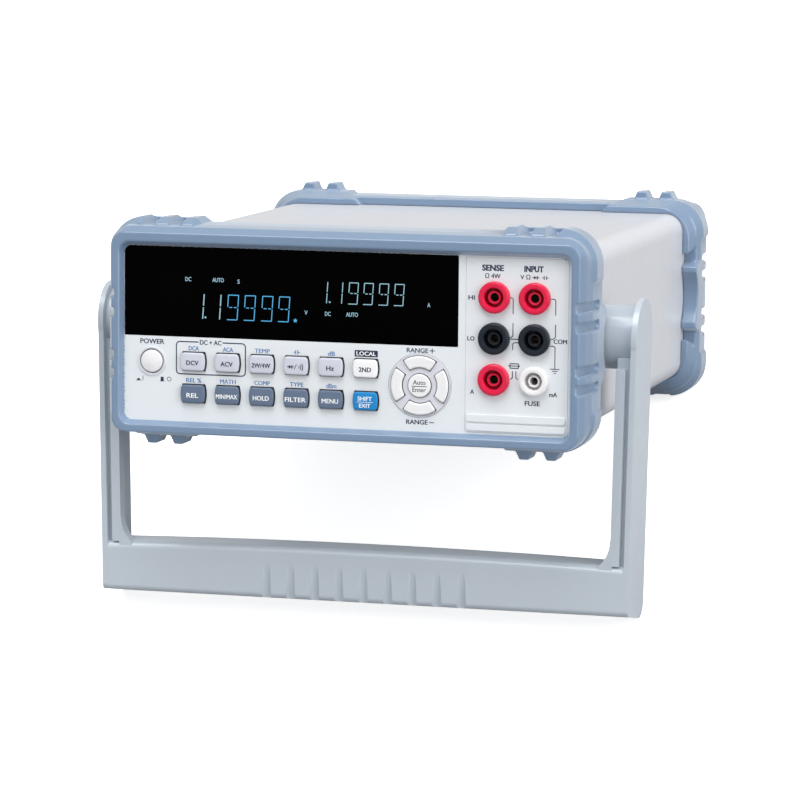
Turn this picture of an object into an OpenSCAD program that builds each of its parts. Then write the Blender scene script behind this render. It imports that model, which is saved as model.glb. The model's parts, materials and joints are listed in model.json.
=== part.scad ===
// Bench multimeter on its tilt handle.
// The instrument is drawn level: x to its right, y to its back, z up, with the origin in the middle of
// the front panel's face. stand() then tips it back onto its handle and its rear bumper, so that z = 0 is
// the table and the origin is the middle of the base of the whole object.

/* [Case] */
// Width of the case sleeve
case_w = 218; // [216:0.5:219]
// Height of the case sleeve
case_h = 86; // [85:0.5:87]
// Depth from the front panel's face to the rear panel's face
case_d = 293.5; // [285:0.5:310]
// Corner radius of the case sleeve
case_r = 9; // [7:0.5:10]

/* [Bumpers] */
// Half width of the bumper's body
bumper_half_w = 117; // [116:0.5:118]
// How far the bumper's front ring stands before the panel
ring_depth = 4; // [3:0.5:6]
// Height of the stacking studs
stud_h = 4; // [3:0.5:5]

/* [Handle] */
// Distance from the panel's face back to the handle's pivot
hub_y = 50; // [46:1:56]
// Radius of the pivot boss
hub_r = 15; // [12:0.5:16]
// Width of an arm, seen from the side
arm_w = 36; // [32:1:37]
// Depth of the handle's heel below its pivot
handle_drop = 135; // [131:1:138]
// Half width of the handle across its arms, at the pivot
handle_half_w = 132.2; // [131:0.1:134]
// How far each arm leans in towards the grip, in degrees
arm_lean = 1; // [0:0.1:1.2]

/* [Front panel] */
// Distance between neighbouring jacks
jack_pitch = 19.05; // [18.5:0.05:19.4]
// Radius of a jack's plug bore
plug_r = 2; // [1.9:0.05:2.1]
// Distance between neighbouring keys in a row
key_pitch = 16.83; // [16:0.01:17.2]
// Distance between the two rows of keys
row_pitch = 15.25; // [14:0.05:16]
// How far a key stands before the panel
key_proud = 2.2; // [1.5:0.1:3]
// How far a key moves when it is pressed
key_travel = 1.2; // [0.8:0.1:1.4]

/* [Hidden] */
$fn = 64;
hull_fn = 32;

// case
wall = 2;
panel_t = 3;
hub_z = 1;
inner_w = case_w - 2 * wall;
inner_h = case_h - 2 * wall;
lip_w = 214.4;
lip_h = 82;
lip_z = 0.4;

// bumper sections from front to back: distance back, half width, bottom, top, corner radius
bumper_sections = [
    [-ring_depth, bumper_half_w - 4.2, -46.5, 48, 6.5],
    [1, bumper_half_w - 2.1, -47.3, 49.6, 10],
    [8, bumper_half_w - 0.5, -47.7, 50.4, 14],
    [16, bumper_half_w, -47.8, 50.6, 16],
    [25, bumper_half_w, -47.8, 50.6, 16],
    [29.5, bumper_half_w - 1.6, -47.1, 49.9, 15]
];
section_t = 0.5;
// how much higher the front bumper stands above the case than the rear bumper hangs below it
front_rise = 1.1;
pad_half_w = bumper_half_w + 0.9;
pad_top = 53.5;
pad_bottom = pad_top - stud_h;
pad_r = 17;
pad_inner = 71.5;
pad_side_z = 30;
pad_slope = 2.6;
pad_front = 4;
pad_full = 10;
pad_taper = 24;
pad_back = 36;
// the pads thin out over the case, and their ends run out along it
pad_edge = 3.4;
edge_inner = 64.5;
edge_side_z = 22.4;
stud_x = [84.2, 97.2];
stud_front = 10;
stud_len = 13;
notch_front = 1;
grip_z = [19.2, 10, -10.1, -18.7];
grip_h = 4.7;
grip_back = 20;
// depth of the grip notches' floors in line with the panel, and how they rise towards the back
grip_depth = 4.8;
grip_rise = 1 / 6;
guard_r = 18.5;
guard_back = 37;
guard_z = [18.5, 16];

// handle
head_r = 18.5;
plate_t = 2.7;
groove_w = 2.4;
rib_w = 4.4;
rib_depth = 6.5;
web_t = 3;
rib_top = -13.5;
bar_top = -106.5;
bar_depth = 28;
heel_r = 8;
toe_r = 3;
toe_rise = 4.6;
bar_front_r = 4;
bar_back_r = 10;
gusset_w = 5.5;
gusset_h = 12;
gusset_r = 16;
arm_half = arm_w / 2;
arm_inner = plate_t + groove_w + rib_w;
flute_count = 9;
flute_pitch = 12.05;
flute_x = 1.2;
flute_r = 2.4;
flute_top = -111;
flute_depth = 2;
// how far the grip's upper side rises in the middle
swell = 2;
swell_pitch = 28;
pin_r = 3;
pin_play = 0.05;
mount_t = 3.6;
boss_gap = 0.4;
boss_start = case_w / 2 + mount_t + boss_gap;
pin_end = boss_start + 12;

// the sole of the foot: the line that touches the toe's and the heel's rounding from below
toe = [toe_r - arm_half, toe_rise + toe_r - handle_drop];
heel = [arm_half - heel_r, heel_r - handle_drop];
sole = atan2(heel[1] - toe[1], heel[0] - toe[0]) - asin((heel_r - toe_r) / norm(heel - toe));
sole_normal = [sin(sole), -cos(sole)];
flute_slope = atan(flute_depth / (flute_top - toe[1]));

// tilt: the heel of the handle and the shoulder of the rear bumper both rest on the table
heel_y = hub_y + heel[0];
heel_z = hub_z + heel[1];
shoulder_y = case_d - pad_full;
reach_y = shoulder_y - heel_y;
reach_z = heel_z + pad_top;
tilt = asin(heel_r / norm([reach_y, reach_z])) - atan(reach_z / reach_y);
function world_y(y, z) = y * cos(tilt) + z * sin(tilt);
function world_z(y, z) = -y * sin(tilt) + z * cos(tilt);
stand_z = -world_z(shoulder_y, -pad_top);
front_edge = world_y(-ring_depth, bumper_sections[0][2]);
back_edge = world_y(case_d + ring_depth, -bumper_sections[0][2]);
stand_y = -(front_edge + back_edge) / 2;

// front panel layout
window = [-107.2, 54.8, -0.9, 41.3];
window_t = 1.6;
view = [-97, 47, 4, 37];
terminal = [58.5, 106.9, -40.2, 41];
terminal_t = 1.5;
rib_z = [-33.5, -37.6];
rib_h = 3.2;
rib_proud = 0.9;
jack_x = 81.63;
jack_z = 3.72;
jack_rim_r = 7.4;
jack_body_r = 6;
jack_hole_r = 6.2;
jack_shroud_r = 4.45;
jack_post_r = 3.3;
jack_proud = 3;
jack_depth = 24;
socket_r = 2.8;
socket_start = 0.5;
socket_len = 20;
cap_rim_r = 6.85;
cap_shroud_r = 4.05;
cap_post_r = 2.9;
cap_stem_r = 5;
cap_len = 22;
cap_hole_r = 5.3;
holder_r = 6.2;
holder_len = 46;
key_x = -73.2;
key_z = -12.4;
key_w = 12.2;
key_h = 8.6;
key_gap = 0.3;
key_bulge = 0.7;
flange_t = 1;
key_rest = 0.3;
flange_w = 0.9;
nav_x = 36.9;
nav_z = -19.4;
nav_r = 14.5;
nav_outer = 13.7;
nav_inner = 8.4;
nav_half_angle = 34;
enter_r = 5.45;
power_x = -93.9;
power_z = -12.9;
power_r = 5.6;
power_proud = 1.6;
rod_start = 5.5;
rod_r = 1.6;
switch_y = 48;
board_y = 8.3;
board_t = 1.6;
mat_y = 7.3;
dome_y = panel_t + key_rest + flange_t + key_travel + 0.1;

// inside
tray_w = 198;
tray_z = -inner_h / 2 + 0.2;
tray_t = 1.5;
tray_side_y = 12;
main_z = -30;
main_back = 178;
standoff_r = 3;
standoff_x = [-88, 88];
board_half_w = 97;
standoff_y = [28, 100, 170];
screw_r = 1.5;
screw_head_r = 2.8;
core_x = -55;
core_y = 222;

// rear panel
rear_y = case_d - panel_t;
inlet_x = -72;
inlet_z = 6;
inlet_w = 27;
inlet_depth = 17;
inlet_body = 32;
drawer_z = -16;
drawer_w = 22;
drawer_h = 9;
drawer_len = 27;
serial_x = 20;
usb_x = 62;
port_z = 8;
rear_screw_x = 98;
rear_screw_z = 33;

// ---------------------------------------------------------------- helpers

// tips the level instrument back onto its handle
module stand() {
    translate([0, stand_y, stand_z]) rotate([-tilt, 0, 0]) children();
}

// a rounded rectangle about the origin
module rounded(w, h, r) {
    square([w - 2 * r, h], center = true);
    square([w, h - 2 * r], center = true);
    for (sx = [-1, 1], sy = [-1, 1])
        translate([sx * (w / 2 - r), sy * (h / 2 - r)]) circle(r);
}

// a plain rectangle given as [left, right, bottom, top], grown by g
module area(box, g = 0) {
    translate([box[0] - g, box[2] - g]) square([box[1] - box[0] + 2 * g, box[3] - box[2] + 2 * g]);
}

// an outline in x and z, from y backwards by t
module sheet(y, t) {
    translate([0, y + t, 0]) rotate([90, 0, 0]) linear_extrude(t) children();
}

// an outline in y and z, from x to the right by t
module side_sheet(x, t) {
    translate([x, 0, 0]) rotate([90, 0, 90]) linear_extrude(t) children();
}

// a round bar along y, from y backwards by l
module rod(x, z, y, r, l) {
    translate([x, y + l, z]) rotate([90, 0, 0]) cylinder(h = l, r = r);
}

// a profile of radius and distance back, turned about an axis along y
module turned(x, z) {
    translate([x, 0, z]) rotate([-90, 0, 0]) rotate_extrude() children();
}

// a box given by its lowest corner and its size
module block(corner, size) {
    translate(corner) cube(size);
}

function jack_pos(column, row) = [jack_x + (column - 0.5) * jack_pitch, jack_z + (1 - row) * jack_pitch];

// ---------------------------------------------------------------- bumpers

module bumper_section(s, rise) {
    top = s[3] + (s[0] > 0 ? rise : 0);
    translate([0, (s[2] + top) / 2]) rounded(2 * s[1], top - s[2], s[4], $fn = hull_fn);
}

// the raised block at one corner, w wide and reach high; side and up are 1 or -1
module corner_outline(side, up, w, reach, inner, side_z) {
    intersection() {
        rounded(2 * w, 2 * reach, pad_r, $fn = hull_fn);
        polygon([
            [side * inner, up * (reach - 4)],
            [side * (inner + 4), up * reach],
            [side * w, up * reach],
            [side * w, up * (side_z + 1)],
            [side * (w - 1), up * side_z],
            [side * (w - 8), up * side_z]
        ]);
    }
}

// top is the pad's height, negative below
module corner_pad(side, top) {
    up = sign(top);
    reach = abs(top);
    hull() {
        sheet(pad_front, section_t)
            corner_outline(side, up, pad_half_w - pad_slope, reach - pad_slope, pad_inner, pad_side_z);
        sheet(pad_full, pad_taper - pad_full)
            corner_outline(side, up, pad_half_w, reach, pad_inner, pad_side_z);
        sheet(pad_back - section_t, section_t)
            corner_outline(side, up, case_w / 2 + pad_edge, case_h / 2 + pad_edge, edge_inner, edge_side_z);
    }
}

// the outline of a stacking stud, pointing down from z = 0
module stud_outline(h, g = 0) {
    polygon([[-4.2 - g, 0.5], [4.2 + g, 0.5], [2.2 + g, -h], [-2.2 - g, -h]]);
}

// the outline of a grip notch, open at the front and round at the back
module grip_outline() {
    translate([-ring_depth - 1, -grip_h / 2]) square([grip_back + ring_depth + 1 - grip_h / 2, grip_h]);
    translate([grip_back - grip_h / 2, 0]) circle(grip_h / 2);
}

// rise is how much higher its notched side stands
module bumper(rise) {
    guard_t = bumper_half_w - case_w / 2;
    difference() {
        union() {
            hull() for (s = bumper_sections) sheet(s[0], section_t) bumper_section(s, rise);
            for (side = [-1, 1], top = [pad_top + rise, -pad_bottom]) corner_pad(side, top);
            // guards round the handle's pivot
            for (side = [-1, 1]) side_sheet(side > 0 ? case_w / 2 : -bumper_half_w, guard_t)
                polygon([[24, guard_z[0]], [29, guard_z[0]], [guard_back, guard_z[1]],
                         [guard_back, -guard_z[1]], [29, -guard_z[0]], [24, -guard_z[0]]]);
            for (side = [-1, 1], x = stud_x)
                translate([side * x, 0, -pad_bottom]) sheet(stud_front, stud_len) stud_outline(stud_h);
        }
        // opening over the panel, with a bevelled lip
        hull() {
            translate([0, 0, lip_z])
                sheet(-ring_depth - 0.1, 0.1) rounded(lip_w + 4, lip_h + 4.8, 5, $fn = hull_fn);
            translate([0, 0, lip_z]) sheet(-0.1, 0.1) rounded(lip_w, lip_h, 3, $fn = hull_fn);
        }
        // pocket for the case
        sheet(0, 60) rounded(case_w + 0.2, case_h + 0.2, case_r);
        translate([0, 0, lip_z]) sheet(-1, 2) rounded(lip_w, lip_h, 3);
        // notches that take the studs of the instrument above
        for (side = [-1, 1], x = stud_x)
            translate([side * x, 0, pad_top + rise])
                sheet(notch_front, stud_front + stud_len + 2 - notch_front) stud_outline(stud_h - 0.2, 0.4);
        // grip notches down each side
        for (side = [-1, 1], z = grip_z)
            translate([side * (bumper_half_w - grip_depth), 0, z])
                multmatrix([[1, side * grip_rise, 0, 0], [0, 1, 0, 0], [0, 0, 1, 0]])
                    side_sheet(side > 0 ? 0 : -10, 10) grip_outline();
        // clearance round the pivot boss
        translate([-150, hub_y, 0]) rotate([0, 90, 0]) cylinder(h = 300, r = guard_r);
    }
}

module front_bumper() {
    color("#8fa6c0") stand() bumper(front_rise);
}

module rear_bumper() {
    color("#8fa6c0") stand() translate([0, case_d, 0]) rotate([180, 0, 0]) bumper(0);
}

// ---------------------------------------------------------------- case

module case_sleeve() {
    color("#eeeef0") stand() difference() {
        union() {
            sheet(panel_t, rear_y - panel_t) difference() {
                rounded(case_w, case_h, case_r);
                rounded(inner_w, inner_h, case_r - wall);
            }
            // lugs that take the rear panel's screws
            for (sx = [-1, 1], sz = [-1, 1])
                translate([sx * (inner_w / 2 - 6), rear_y - 5, sz * rear_screw_z])
                    cube([13, 10, 8], center = true);
        }
        translate([-150, hub_y, hub_z]) rotate([0, 90, 0]) cylinder(h = 300, r = pin_r + 0.2);
        for (sx = [-1, 1], sz = [-1, 1])
            rod(sx * rear_screw_x, sz * rear_screw_z, rear_y - 11, screw_r, 12);
    }
}

module tray_screw_places() {
    for (x = standoff_x, y = standoff_y) translate([x, y, 0]) children();
}

module chassis_tray() {
    color("#b9bcc0") stand() difference() {
        union() {
            block([-tray_w / 2, panel_t, tray_z], [tray_w, rear_y - panel_t, tray_t]);
            for (x = [-tray_w / 2, tray_w / 2 - tray_t])
                block([x, tray_side_y, tray_z], [tray_t, rear_y - tray_side_y - 12, 10]);
            tray_screw_places() translate([0, 0, tray_z]) cylinder(h = main_z - tray_z, r = standoff_r);
        }
        tray_screw_places() translate([0, 0, main_z - 6]) cylinder(h = 7, r = screw_r);
    }
}

module chassis_screws() {
    color("#c8ccd0") stand() tray_screw_places() translate([0, 0, main_z]) {
        translate([0, 0, -5]) cylinder(h = 5 + board_t, r = screw_r);
        translate([0, 0, board_t]) cylinder(h = 1.8, r = screw_head_r);
    }
}

// ---------------------------------------------------------------- front panel

// the barrel shape of a function key, grown by g
module key_outline(g = 0) {
    half_h = key_h / 2;
    r = (half_h * half_h + key_bulge * key_bulge) / (2 * key_bulge);
    intersection() {
        square([key_w + 2 * g, key_h + 2 * g], center = true);
        translate([key_w / 2 - r, 0]) circle(r + g);
        translate([r - key_w / 2, 0]) circle(r + g);
    }
}

// a ring sector between two radii, centred on the +x direction
module arc_outline(r0, r1, half_angle) {
    far = 2 * r1;
    intersection() {
        difference() {
            circle(r1);
            circle(r0);
        }
        polygon([[0, 0], [far * cos(half_angle), -far * sin(half_angle)],
                 [far * cos(half_angle), far * sin(half_angle)]]);
    }
}

module key_places() {
    for (i = [0:5], j = [0:1]) translate([key_x + i * key_pitch, key_z - j * row_pitch]) children();
}

module front_panel() {
    color("#e8eef2") stand() difference() {
        union() {
            sheet(0, panel_t) rounded(case_w - 0.2, case_h - 0.2, case_r);
            sheet(-0.5, 1) translate([power_x, power_z]) circle(6.9);
        }
        // ledge for the window, and the view through to the display
        sheet(-0.1, window_t + 0.1) area(window, 0.1);
        sheet(-0.1, panel_t + 0.2) area(view);
        // ledge for the terminal panel
        sheet(-0.1, terminal_t + 0.1) area(terminal, 0.1);
        sheet(-0.1, panel_t + 0.2) {
            key_places() key_outline(key_gap);
            translate([nav_x, nav_z]) circle(nav_r + 0.1);
            for (c = [0, 1], r = [0, 1, 2]) translate(jack_pos(c, r)) circle(jack_hole_r);
        }
        sheet(-0.6, panel_t + 0.7) translate([power_x, power_z]) circle(power_r + 0.35);
    }
}

module terminal_panel() {
    color("#e4e4ec") stand() {
        difference() {
            sheet(0, terminal_t) area(terminal);
            sheet(-0.1, terminal_t + 0.2)
                for (c = [0, 1], r = [0, 1, 2]) translate(jack_pos(c, r)) circle(jack_hole_r);
        }
        for (z = rib_z) sheet(-rib_proud, rib_proud) translate([(terminal[0] + terminal[1]) / 2, z])
            rounded(terminal[1] - terminal[0] - 1.4, rib_h, rib_h / 2 - 0.1);
    }
}

module display_window() {
    color("#050608") stand() sheet(0, window_t) area(window);
}

module display_module() {
    color("#20262c") stand() {
        block([view[0] - 3, panel_t + 0.2, view[2] - 2],
              [view[1] - view[0] + 6, 4.6, view[3] - view[2] + 3.5]);
    }
}

module key_mat() {
    dome_h = mat_y - dome_y + 0.5;
    color("#d9d9d4") stand() {
        sheet(mat_y, board_y - mat_y) area([-82, 52, -36, -3]);
        for (i = [0:5], j = [0:1])
            rod(key_x + i * key_pitch, key_z - j * row_pitch, dome_y, 2.6, dome_h);
        for (a = [0:90:270])
            rod(nav_x + 10.5 * cos(a), nav_z + 10.5 * sin(a), dome_y, 1.8, dome_h);
        rod(nav_x, nav_z, dome_y, 2.4, dome_h);
    }
}

module front_board() {
    color("#1d6b45") stand() sheet(board_y, board_t) difference() {
        area([-104, 55, -37, 38]);
        translate([power_x, power_z]) circle(3.2);
    }
}

// ---------------------------------------------------------------- keys

module function_key(column, row, shade) {
    color(shade) stand() translate([key_x + column * key_pitch, 0, key_z - row * row_pitch]) {
        sheet(-key_proud, panel_t + key_rest + key_proud) key_outline();
        sheet(panel_t + key_rest, flange_t)
            square([key_w + 2 * flange_w, key_h + 2 * flange_w], center = true);
    }
}

module nav_key(angle) {
    color("#f4f4f6") stand() translate([nav_x, 0, nav_z]) rotate([0, -angle, 0]) {
        sheet(-1.6, panel_t + 1.9) arc_outline(nav_inner, nav_outer, nav_half_angle);
        sheet(panel_t + key_rest, flange_t) arc_outline(nav_inner - 0.6, nav_outer + 0.6, nav_half_angle + 3);
    }
}

module nav_enter() {
    color("#f4f4f6") stand() {
        rod(nav_x, nav_z, -1.6, enter_r, panel_t + 1.9);
        rod(nav_x, nav_z, panel_t + key_rest, enter_r + 0.6, flange_t);
    }
}

module nav_bezel() {
    color("#dadae4") stand() sheet(-0.5, panel_t + 0.5) translate([nav_x, nav_z]) difference() {
        circle(nav_r);
        circle(enter_r + key_gap);
        for (a = [0:90:270]) rotate(a)
            arc_outline(nav_inner - key_gap, nav_outer + key_gap, nav_half_angle + 2.2);
    }
}

module power_button() {
    color("#f1ecee") stand() difference() {
        union() {
            rod(power_x, power_z, -power_proud, power_r, power_proud + panel_t + 2);
            rod(power_x, power_z, panel_t + 1.9, 3, 2.6);
        }
        rod(power_x, power_z, rod_start, rod_r, 5);
    }
}

module power_rod() {
    color("#3a3f45") stand() rod(power_x, power_z, rod_start, rod_r, 56);
}

module power_switch() {
    color("#2a2c30") stand() difference() {
        block([power_x - 3, switch_y, main_z + board_t], [16, 26, power_z + 7 - main_z - board_t]);
        rod(power_x, power_z, switch_y - 1, rod_r + 0.3, 22);
    }
}

// ---------------------------------------------------------------- jacks

// an insulated jack body; its metal socket sits in the post
module jack_body(p) {
    difference() {
        union() {
            rod(p[0], p[1], -jack_proud, jack_rim_r, jack_proud);
            rod(p[0], p[1], -0.1, jack_body_r, jack_depth);
        }
        difference() {
            rod(p[0], p[1], -jack_proud - 0.1, jack_shroud_r, 16.1);
            rod(p[0], p[1], -jack_proud + 0.8, jack_post_r, 18);
        }
        rod(p[0], p[1], -jack_proud, plug_r + 0.15, 6);
        rod(p[0], p[1], socket_start, socket_r, jack_depth);
    }
}

module jacks_red() {
    color("#dc1e4c") stand() for (p = [jack_pos(0, 0), jack_pos(1, 0), jack_pos(0, 2)]) jack_body(p);
}

module jacks_black() {
    color("#283040") stand() for (p = [jack_pos(0, 1), jack_pos(1, 1)]) jack_body(p);
}

module jack_sockets() {
    color("#d0b060") stand() for (c = [0, 1], r = [0, 1, 2]) if (c + r < 3) {
        p = jack_pos(c, r);
        difference() {
            rod(p[0], p[1], socket_start, socket_r, socket_len + 8);
            rod(p[0], p[1], socket_start - 0.1, plug_r, socket_len + 0.1);
        }
    }
}

module jack_nuts() {
    color("#c8ccd0") stand() for (c = [0, 1], r = [0, 1, 2]) if (c + r < 3) {
        p = jack_pos(c, r);
        difference() {
            translate([p[0], panel_t + 4, p[1]]) rotate([90, 0, 0]) cylinder(h = 4, r = 8.6, $fn = 6);
            rod(p[0], p[1], panel_t - 1, jack_body_r, 8);
        }
    }
}

module fuse_holder() {
    p = jack_pos(1, 2);
    color("#30343a") stand() difference() {
        union() {
            rod(p[0], p[1], panel_t, 8, 3);
            rod(p[0], p[1], panel_t, holder_r, holder_len);
        }
        rod(p[0], p[1], panel_t - 1, cap_hole_r, holder_len);
    }
}

module fuse_cap() {
    p = jack_pos(1, 2);
    color("#f2f2f4") stand() difference() {
        union() {
            rod(p[0], p[1], -jack_proud, cap_rim_r, jack_proud - 0.3);
            rod(p[0], p[1], -0.5, cap_stem_r, cap_len);
        }
        difference() {
            rod(p[0], p[1], -jack_proud - 0.1, cap_shroud_r, 14);
            rod(p[0], p[1], -jack_proud + 0.8, cap_post_r, 18);
        }
        rod(p[0], p[1], -jack_proud, plug_r, 19);
    }
}

module input_fuse() {
    p = jack_pos(1, 2);
    color("#e6e2d4") stand() rod(p[0], p[1], cap_len - 0.5, 2.6, 20);
}

// ---------------------------------------------------------------- inside

module main_board() {
    color("#1d6b45") stand() difference() {
        block([-board_half_w, 22, main_z], [2 * board_half_w, main_back - 22, board_t]);
        tray_screw_places() translate([0, 0, main_z - 1]) cylinder(h = 4, r = screw_r + 0.2);
    }
}

module transformer_core() {
    color("#6f7276") stand() difference() {
        block([core_x - 33, core_y - 20, tray_z + tray_t], [66, 40, 55]);
        for (side = [-1, 1])
            block([core_x + side * 16.5 - 5.5, core_y - 21, tray_z + tray_t + 11], [11, 42, 33]);
    }
}

module transformer_coil() {
    color("#c98a35") stand() difference() {
        block([core_x - 21.8, core_y - 28, tray_z + tray_t + 11.3], [43.6, 56, 32.4]);
        block([core_x - 11.2, core_y - 20.2, tray_z + tray_t], [22.4, 40.4, 60]);
    }
}

module supply_capacitors() {
    color("#26303c") stand() for (i = [0:3])
        translate([-72 + i * 22, 152, main_z + board_t]) cylinder(h = 26, r = 8);
}

module relays() {
    color("#e9e4d6") stand() for (i = [0:2], j = [0:1])
        block([42 + i * 16, 64 + j * 26, main_z + board_t], [10.5, 20, 11]);
}

module shield_can() {
    color("#c9ccd0") stand() difference() {
        block([-30, 62, main_z + board_t], [56, 48, 14]);
        block([-29.5, 62.5, main_z + board_t - 1], [55, 47, 14.5]);
    }
}

module heat_sink() {
    color("#8f949a") stand() {
        block([26, 136, main_z + board_t], [52, 3, 36]);
        for (i = [0:8]) block([26 + i * 6.3, 139, main_z + board_t], [1.6, 12, 36]);
    }
}

// ---------------------------------------------------------------- rear panel

module rear_panel() {
    color("#dfe2e6") stand() difference() {
        sheet(rear_y, panel_t) rounded(case_w - 0.2, case_h - 0.2, case_r);
        sheet(rear_y - 0.1, panel_t + 0.2) {
            translate([inlet_x, (inlet_z + drawer_z) / 2]) square([inlet_w + 4.2, 43.2], center = true);
            translate([serial_x, port_z]) rounded(18.6, 10, 3);
            translate([usb_x, port_z]) square([12.6, 11.6], center = true);
            for (i = [0:11]) translate([-20 + i * 8, -25]) rounded(3.4, 18, 1.65);
            for (sx = [-1, 1], sz = [-1, 1])
                translate([sx * rear_screw_x, sz * rear_screw_z]) circle(screw_r + 0.2);
        }
    }
}

module mains_inlet() {
    color("#1c1e22") stand() difference() {
        union() {
            translate([inlet_x, 0, (inlet_z + drawer_z) / 2]) {
                sheet(case_d - inlet_body, inlet_body) square([inlet_w + 4, 43], center = true);
                sheet(case_d, 2.5) rounded(inlet_w + 10, 49, 2.5);
            }
        }
        sheet(case_d + 2.5 - inlet_depth, inlet_depth + 1) translate([inlet_x, inlet_z])
            polygon([[-12, -8.2], [12, -8.2], [12, 4], [7.8, 8.2], [-7.8, 8.2], [-12, 4]]);
        translate([inlet_x, 0, drawer_z])
            sheet(case_d - drawer_len - 1, drawer_len + 6)
                square([drawer_w + 0.6, drawer_h + 0.6], center = true);
    }
}

module inlet_pins() {
    color("#d0b060") stand() {
        for (side = [-1, 1])
            block([inlet_x + side * 7 - 1, case_d + 2.5 - inlet_depth, inlet_z - 5], [2, 12, 4]);
        block([inlet_x - 1, case_d + 2.5 - inlet_depth, inlet_z + 1.5], [2, 12, 4]);
    }
}

module fuse_drawer() {
    color("#2a2d33") stand() translate([inlet_x, 0, drawer_z]) difference() {
        union() {
            sheet(case_d - drawer_len, drawer_len + 2.5) square([drawer_w, drawer_h], center = true);
            sheet(case_d + 2.6, 1.2) rounded(drawer_w + 2, drawer_h + 2, 1.5);
            sheet(case_d + 2.4, 0.3) square([drawer_w - 2, drawer_h - 2], center = true);
        }
        block([-8, case_d - drawer_len + 2, -3], [16, 23, 10]);
    }
}

module mains_fuse() {
    color("#e8ecee") stand() rod(inlet_x, drawer_z - 0.4, case_d - drawer_len + 3, 2.6, 20);
}

module serial_port() {
    color("#b9bcc0") stand() translate([serial_x, 0, port_z]) difference() {
        union() {
            sheet(rear_y - 1, 1) square([31, 12.5], center = true);
            sheet(rear_y - 12, 11) rounded(19, 10.5, 2);
            sheet(rear_y - 1, 6.4) rounded(17.6, 9, 3);
        }
        sheet(rear_y - 0.4, 7) rounded(16.6, 8, 2.6);
    }
}

module usb_port() {
    color("#c9ccd0") stand() translate([usb_x, 0, port_z]) difference() {
        sheet(rear_y - 13, 16.4) square([12, 11], center = true);
        sheet(rear_y - 8, 14) square([8.6, 7.8], center = true);
    }
}

module rear_screws() {
    color("#8f949a") stand() for (sx = [-1, 1], sz = [-1, 1]) {
        rod(sx * rear_screw_x, sz * rear_screw_z, rear_y - 6, screw_r, 6 + panel_t);
        rod(sx * rear_screw_x, sz * rear_screw_z, case_d, screw_head_r, 1.6);
    }
}

// ---------------------------------------------------------------- handle

// the frame of one arm: x = 0 on its outer face, y and z from the pivot, leaning in towards the grip
module arm_frame(side) {
    mirror([side > 0 ? 0 : 1, 0, 0]) translate([handle_half_w, hub_y, hub_z]) rotate([0, arm_lean, 0])
        children();
}

module arm_outline() {
    circle(head_r);
    polygon([[-arm_half, 0], [-arm_half, toe[1]], toe + toe_r * sole_normal,
             heel + heel_r * sole_normal, [arm_half, heel[1]], [arm_half, 0]]);
    translate(toe) circle(toe_r);
    translate(heel) circle(heel_r);
}

module handle_arm(side) {
    rib_front = 0.5 - arm_half;
    link_front = -14;
    link_back = -5;
    color("#b0beca") stand() difference() {
        union() {
            arm_frame(side) {
                side_sheet(-plate_t, plate_t) arm_outline();
                block([-arm_inner, rib_front, bar_top], [rib_w, rib_depth, rib_top - bar_top]);
                block([-arm_inner, rib_front + rib_depth - web_t, bar_top],
                      [arm_inner - plate_t / 2, web_t, rib_top - bar_top]);
                block([-arm_inner, link_front, rib_top - 1],
                      [arm_inner - plate_t / 2, link_back - link_front, 6]);
            }
            mirror([side > 0 ? 0 : 1, 0, 0]) translate([boss_start, hub_y, hub_z])
                rotate([0, 90, 0]) cylinder(h = handle_half_w - boss_start - 1.2, r = hub_r);
        }
        mirror([side > 0 ? 0 : 1, 0, 0]) translate([boss_start - 1, hub_y, hub_z])
            rotate([0, 90, 0]) cylinder(h = pin_end - boss_start + 2, r = pin_r + pin_play);
    }
}

// the grip's section: it shares the sole of the foot, and is rounded on its three other corners
module bar_outline() {
    front = -arm_half;
    back = front + bar_depth;
    back_y = back - bar_back_r;
    back_z = toe[1] + tan(sole) * (back_y - toe[0]) + (bar_back_r - toe_r) / cos(sole);
    translate(toe) circle(toe_r);
    translate([back_y, back_z]) circle(bar_back_r);
    translate([front + bar_front_r, bar_top - bar_front_r]) circle(bar_front_r);
    translate([back_y, bar_top - bar_back_r]) circle(bar_back_r);
    polygon([[front, toe[1]], toe + toe_r * sole_normal, [back_y, back_z] + bar_back_r * sole_normal,
             [back, back_z], [back, bar_top - bar_back_r], [back_y, bar_top],
             [front + bar_front_r, bar_top], [front, bar_top - bar_front_r]]);
}

// fills the corner between the bar and an arm's rib; x = 0 is the rib's inner face
module gusset() {
    difference() {
        block([-gusset_w, 0.5 - arm_half, bar_top - 6], [gusset_w + 1, rib_depth, gusset_h + 6]);
        intersection() {
            translate([-gusset_r, -50, bar_top + gusset_h]) rotate([-90, 0, 0])
                cylinder(h = 100, r = gusset_r);
            block([-gusset_r, -50, bar_top], [2 * gusset_r, 100, gusset_r]);
        }
    }
}

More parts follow.
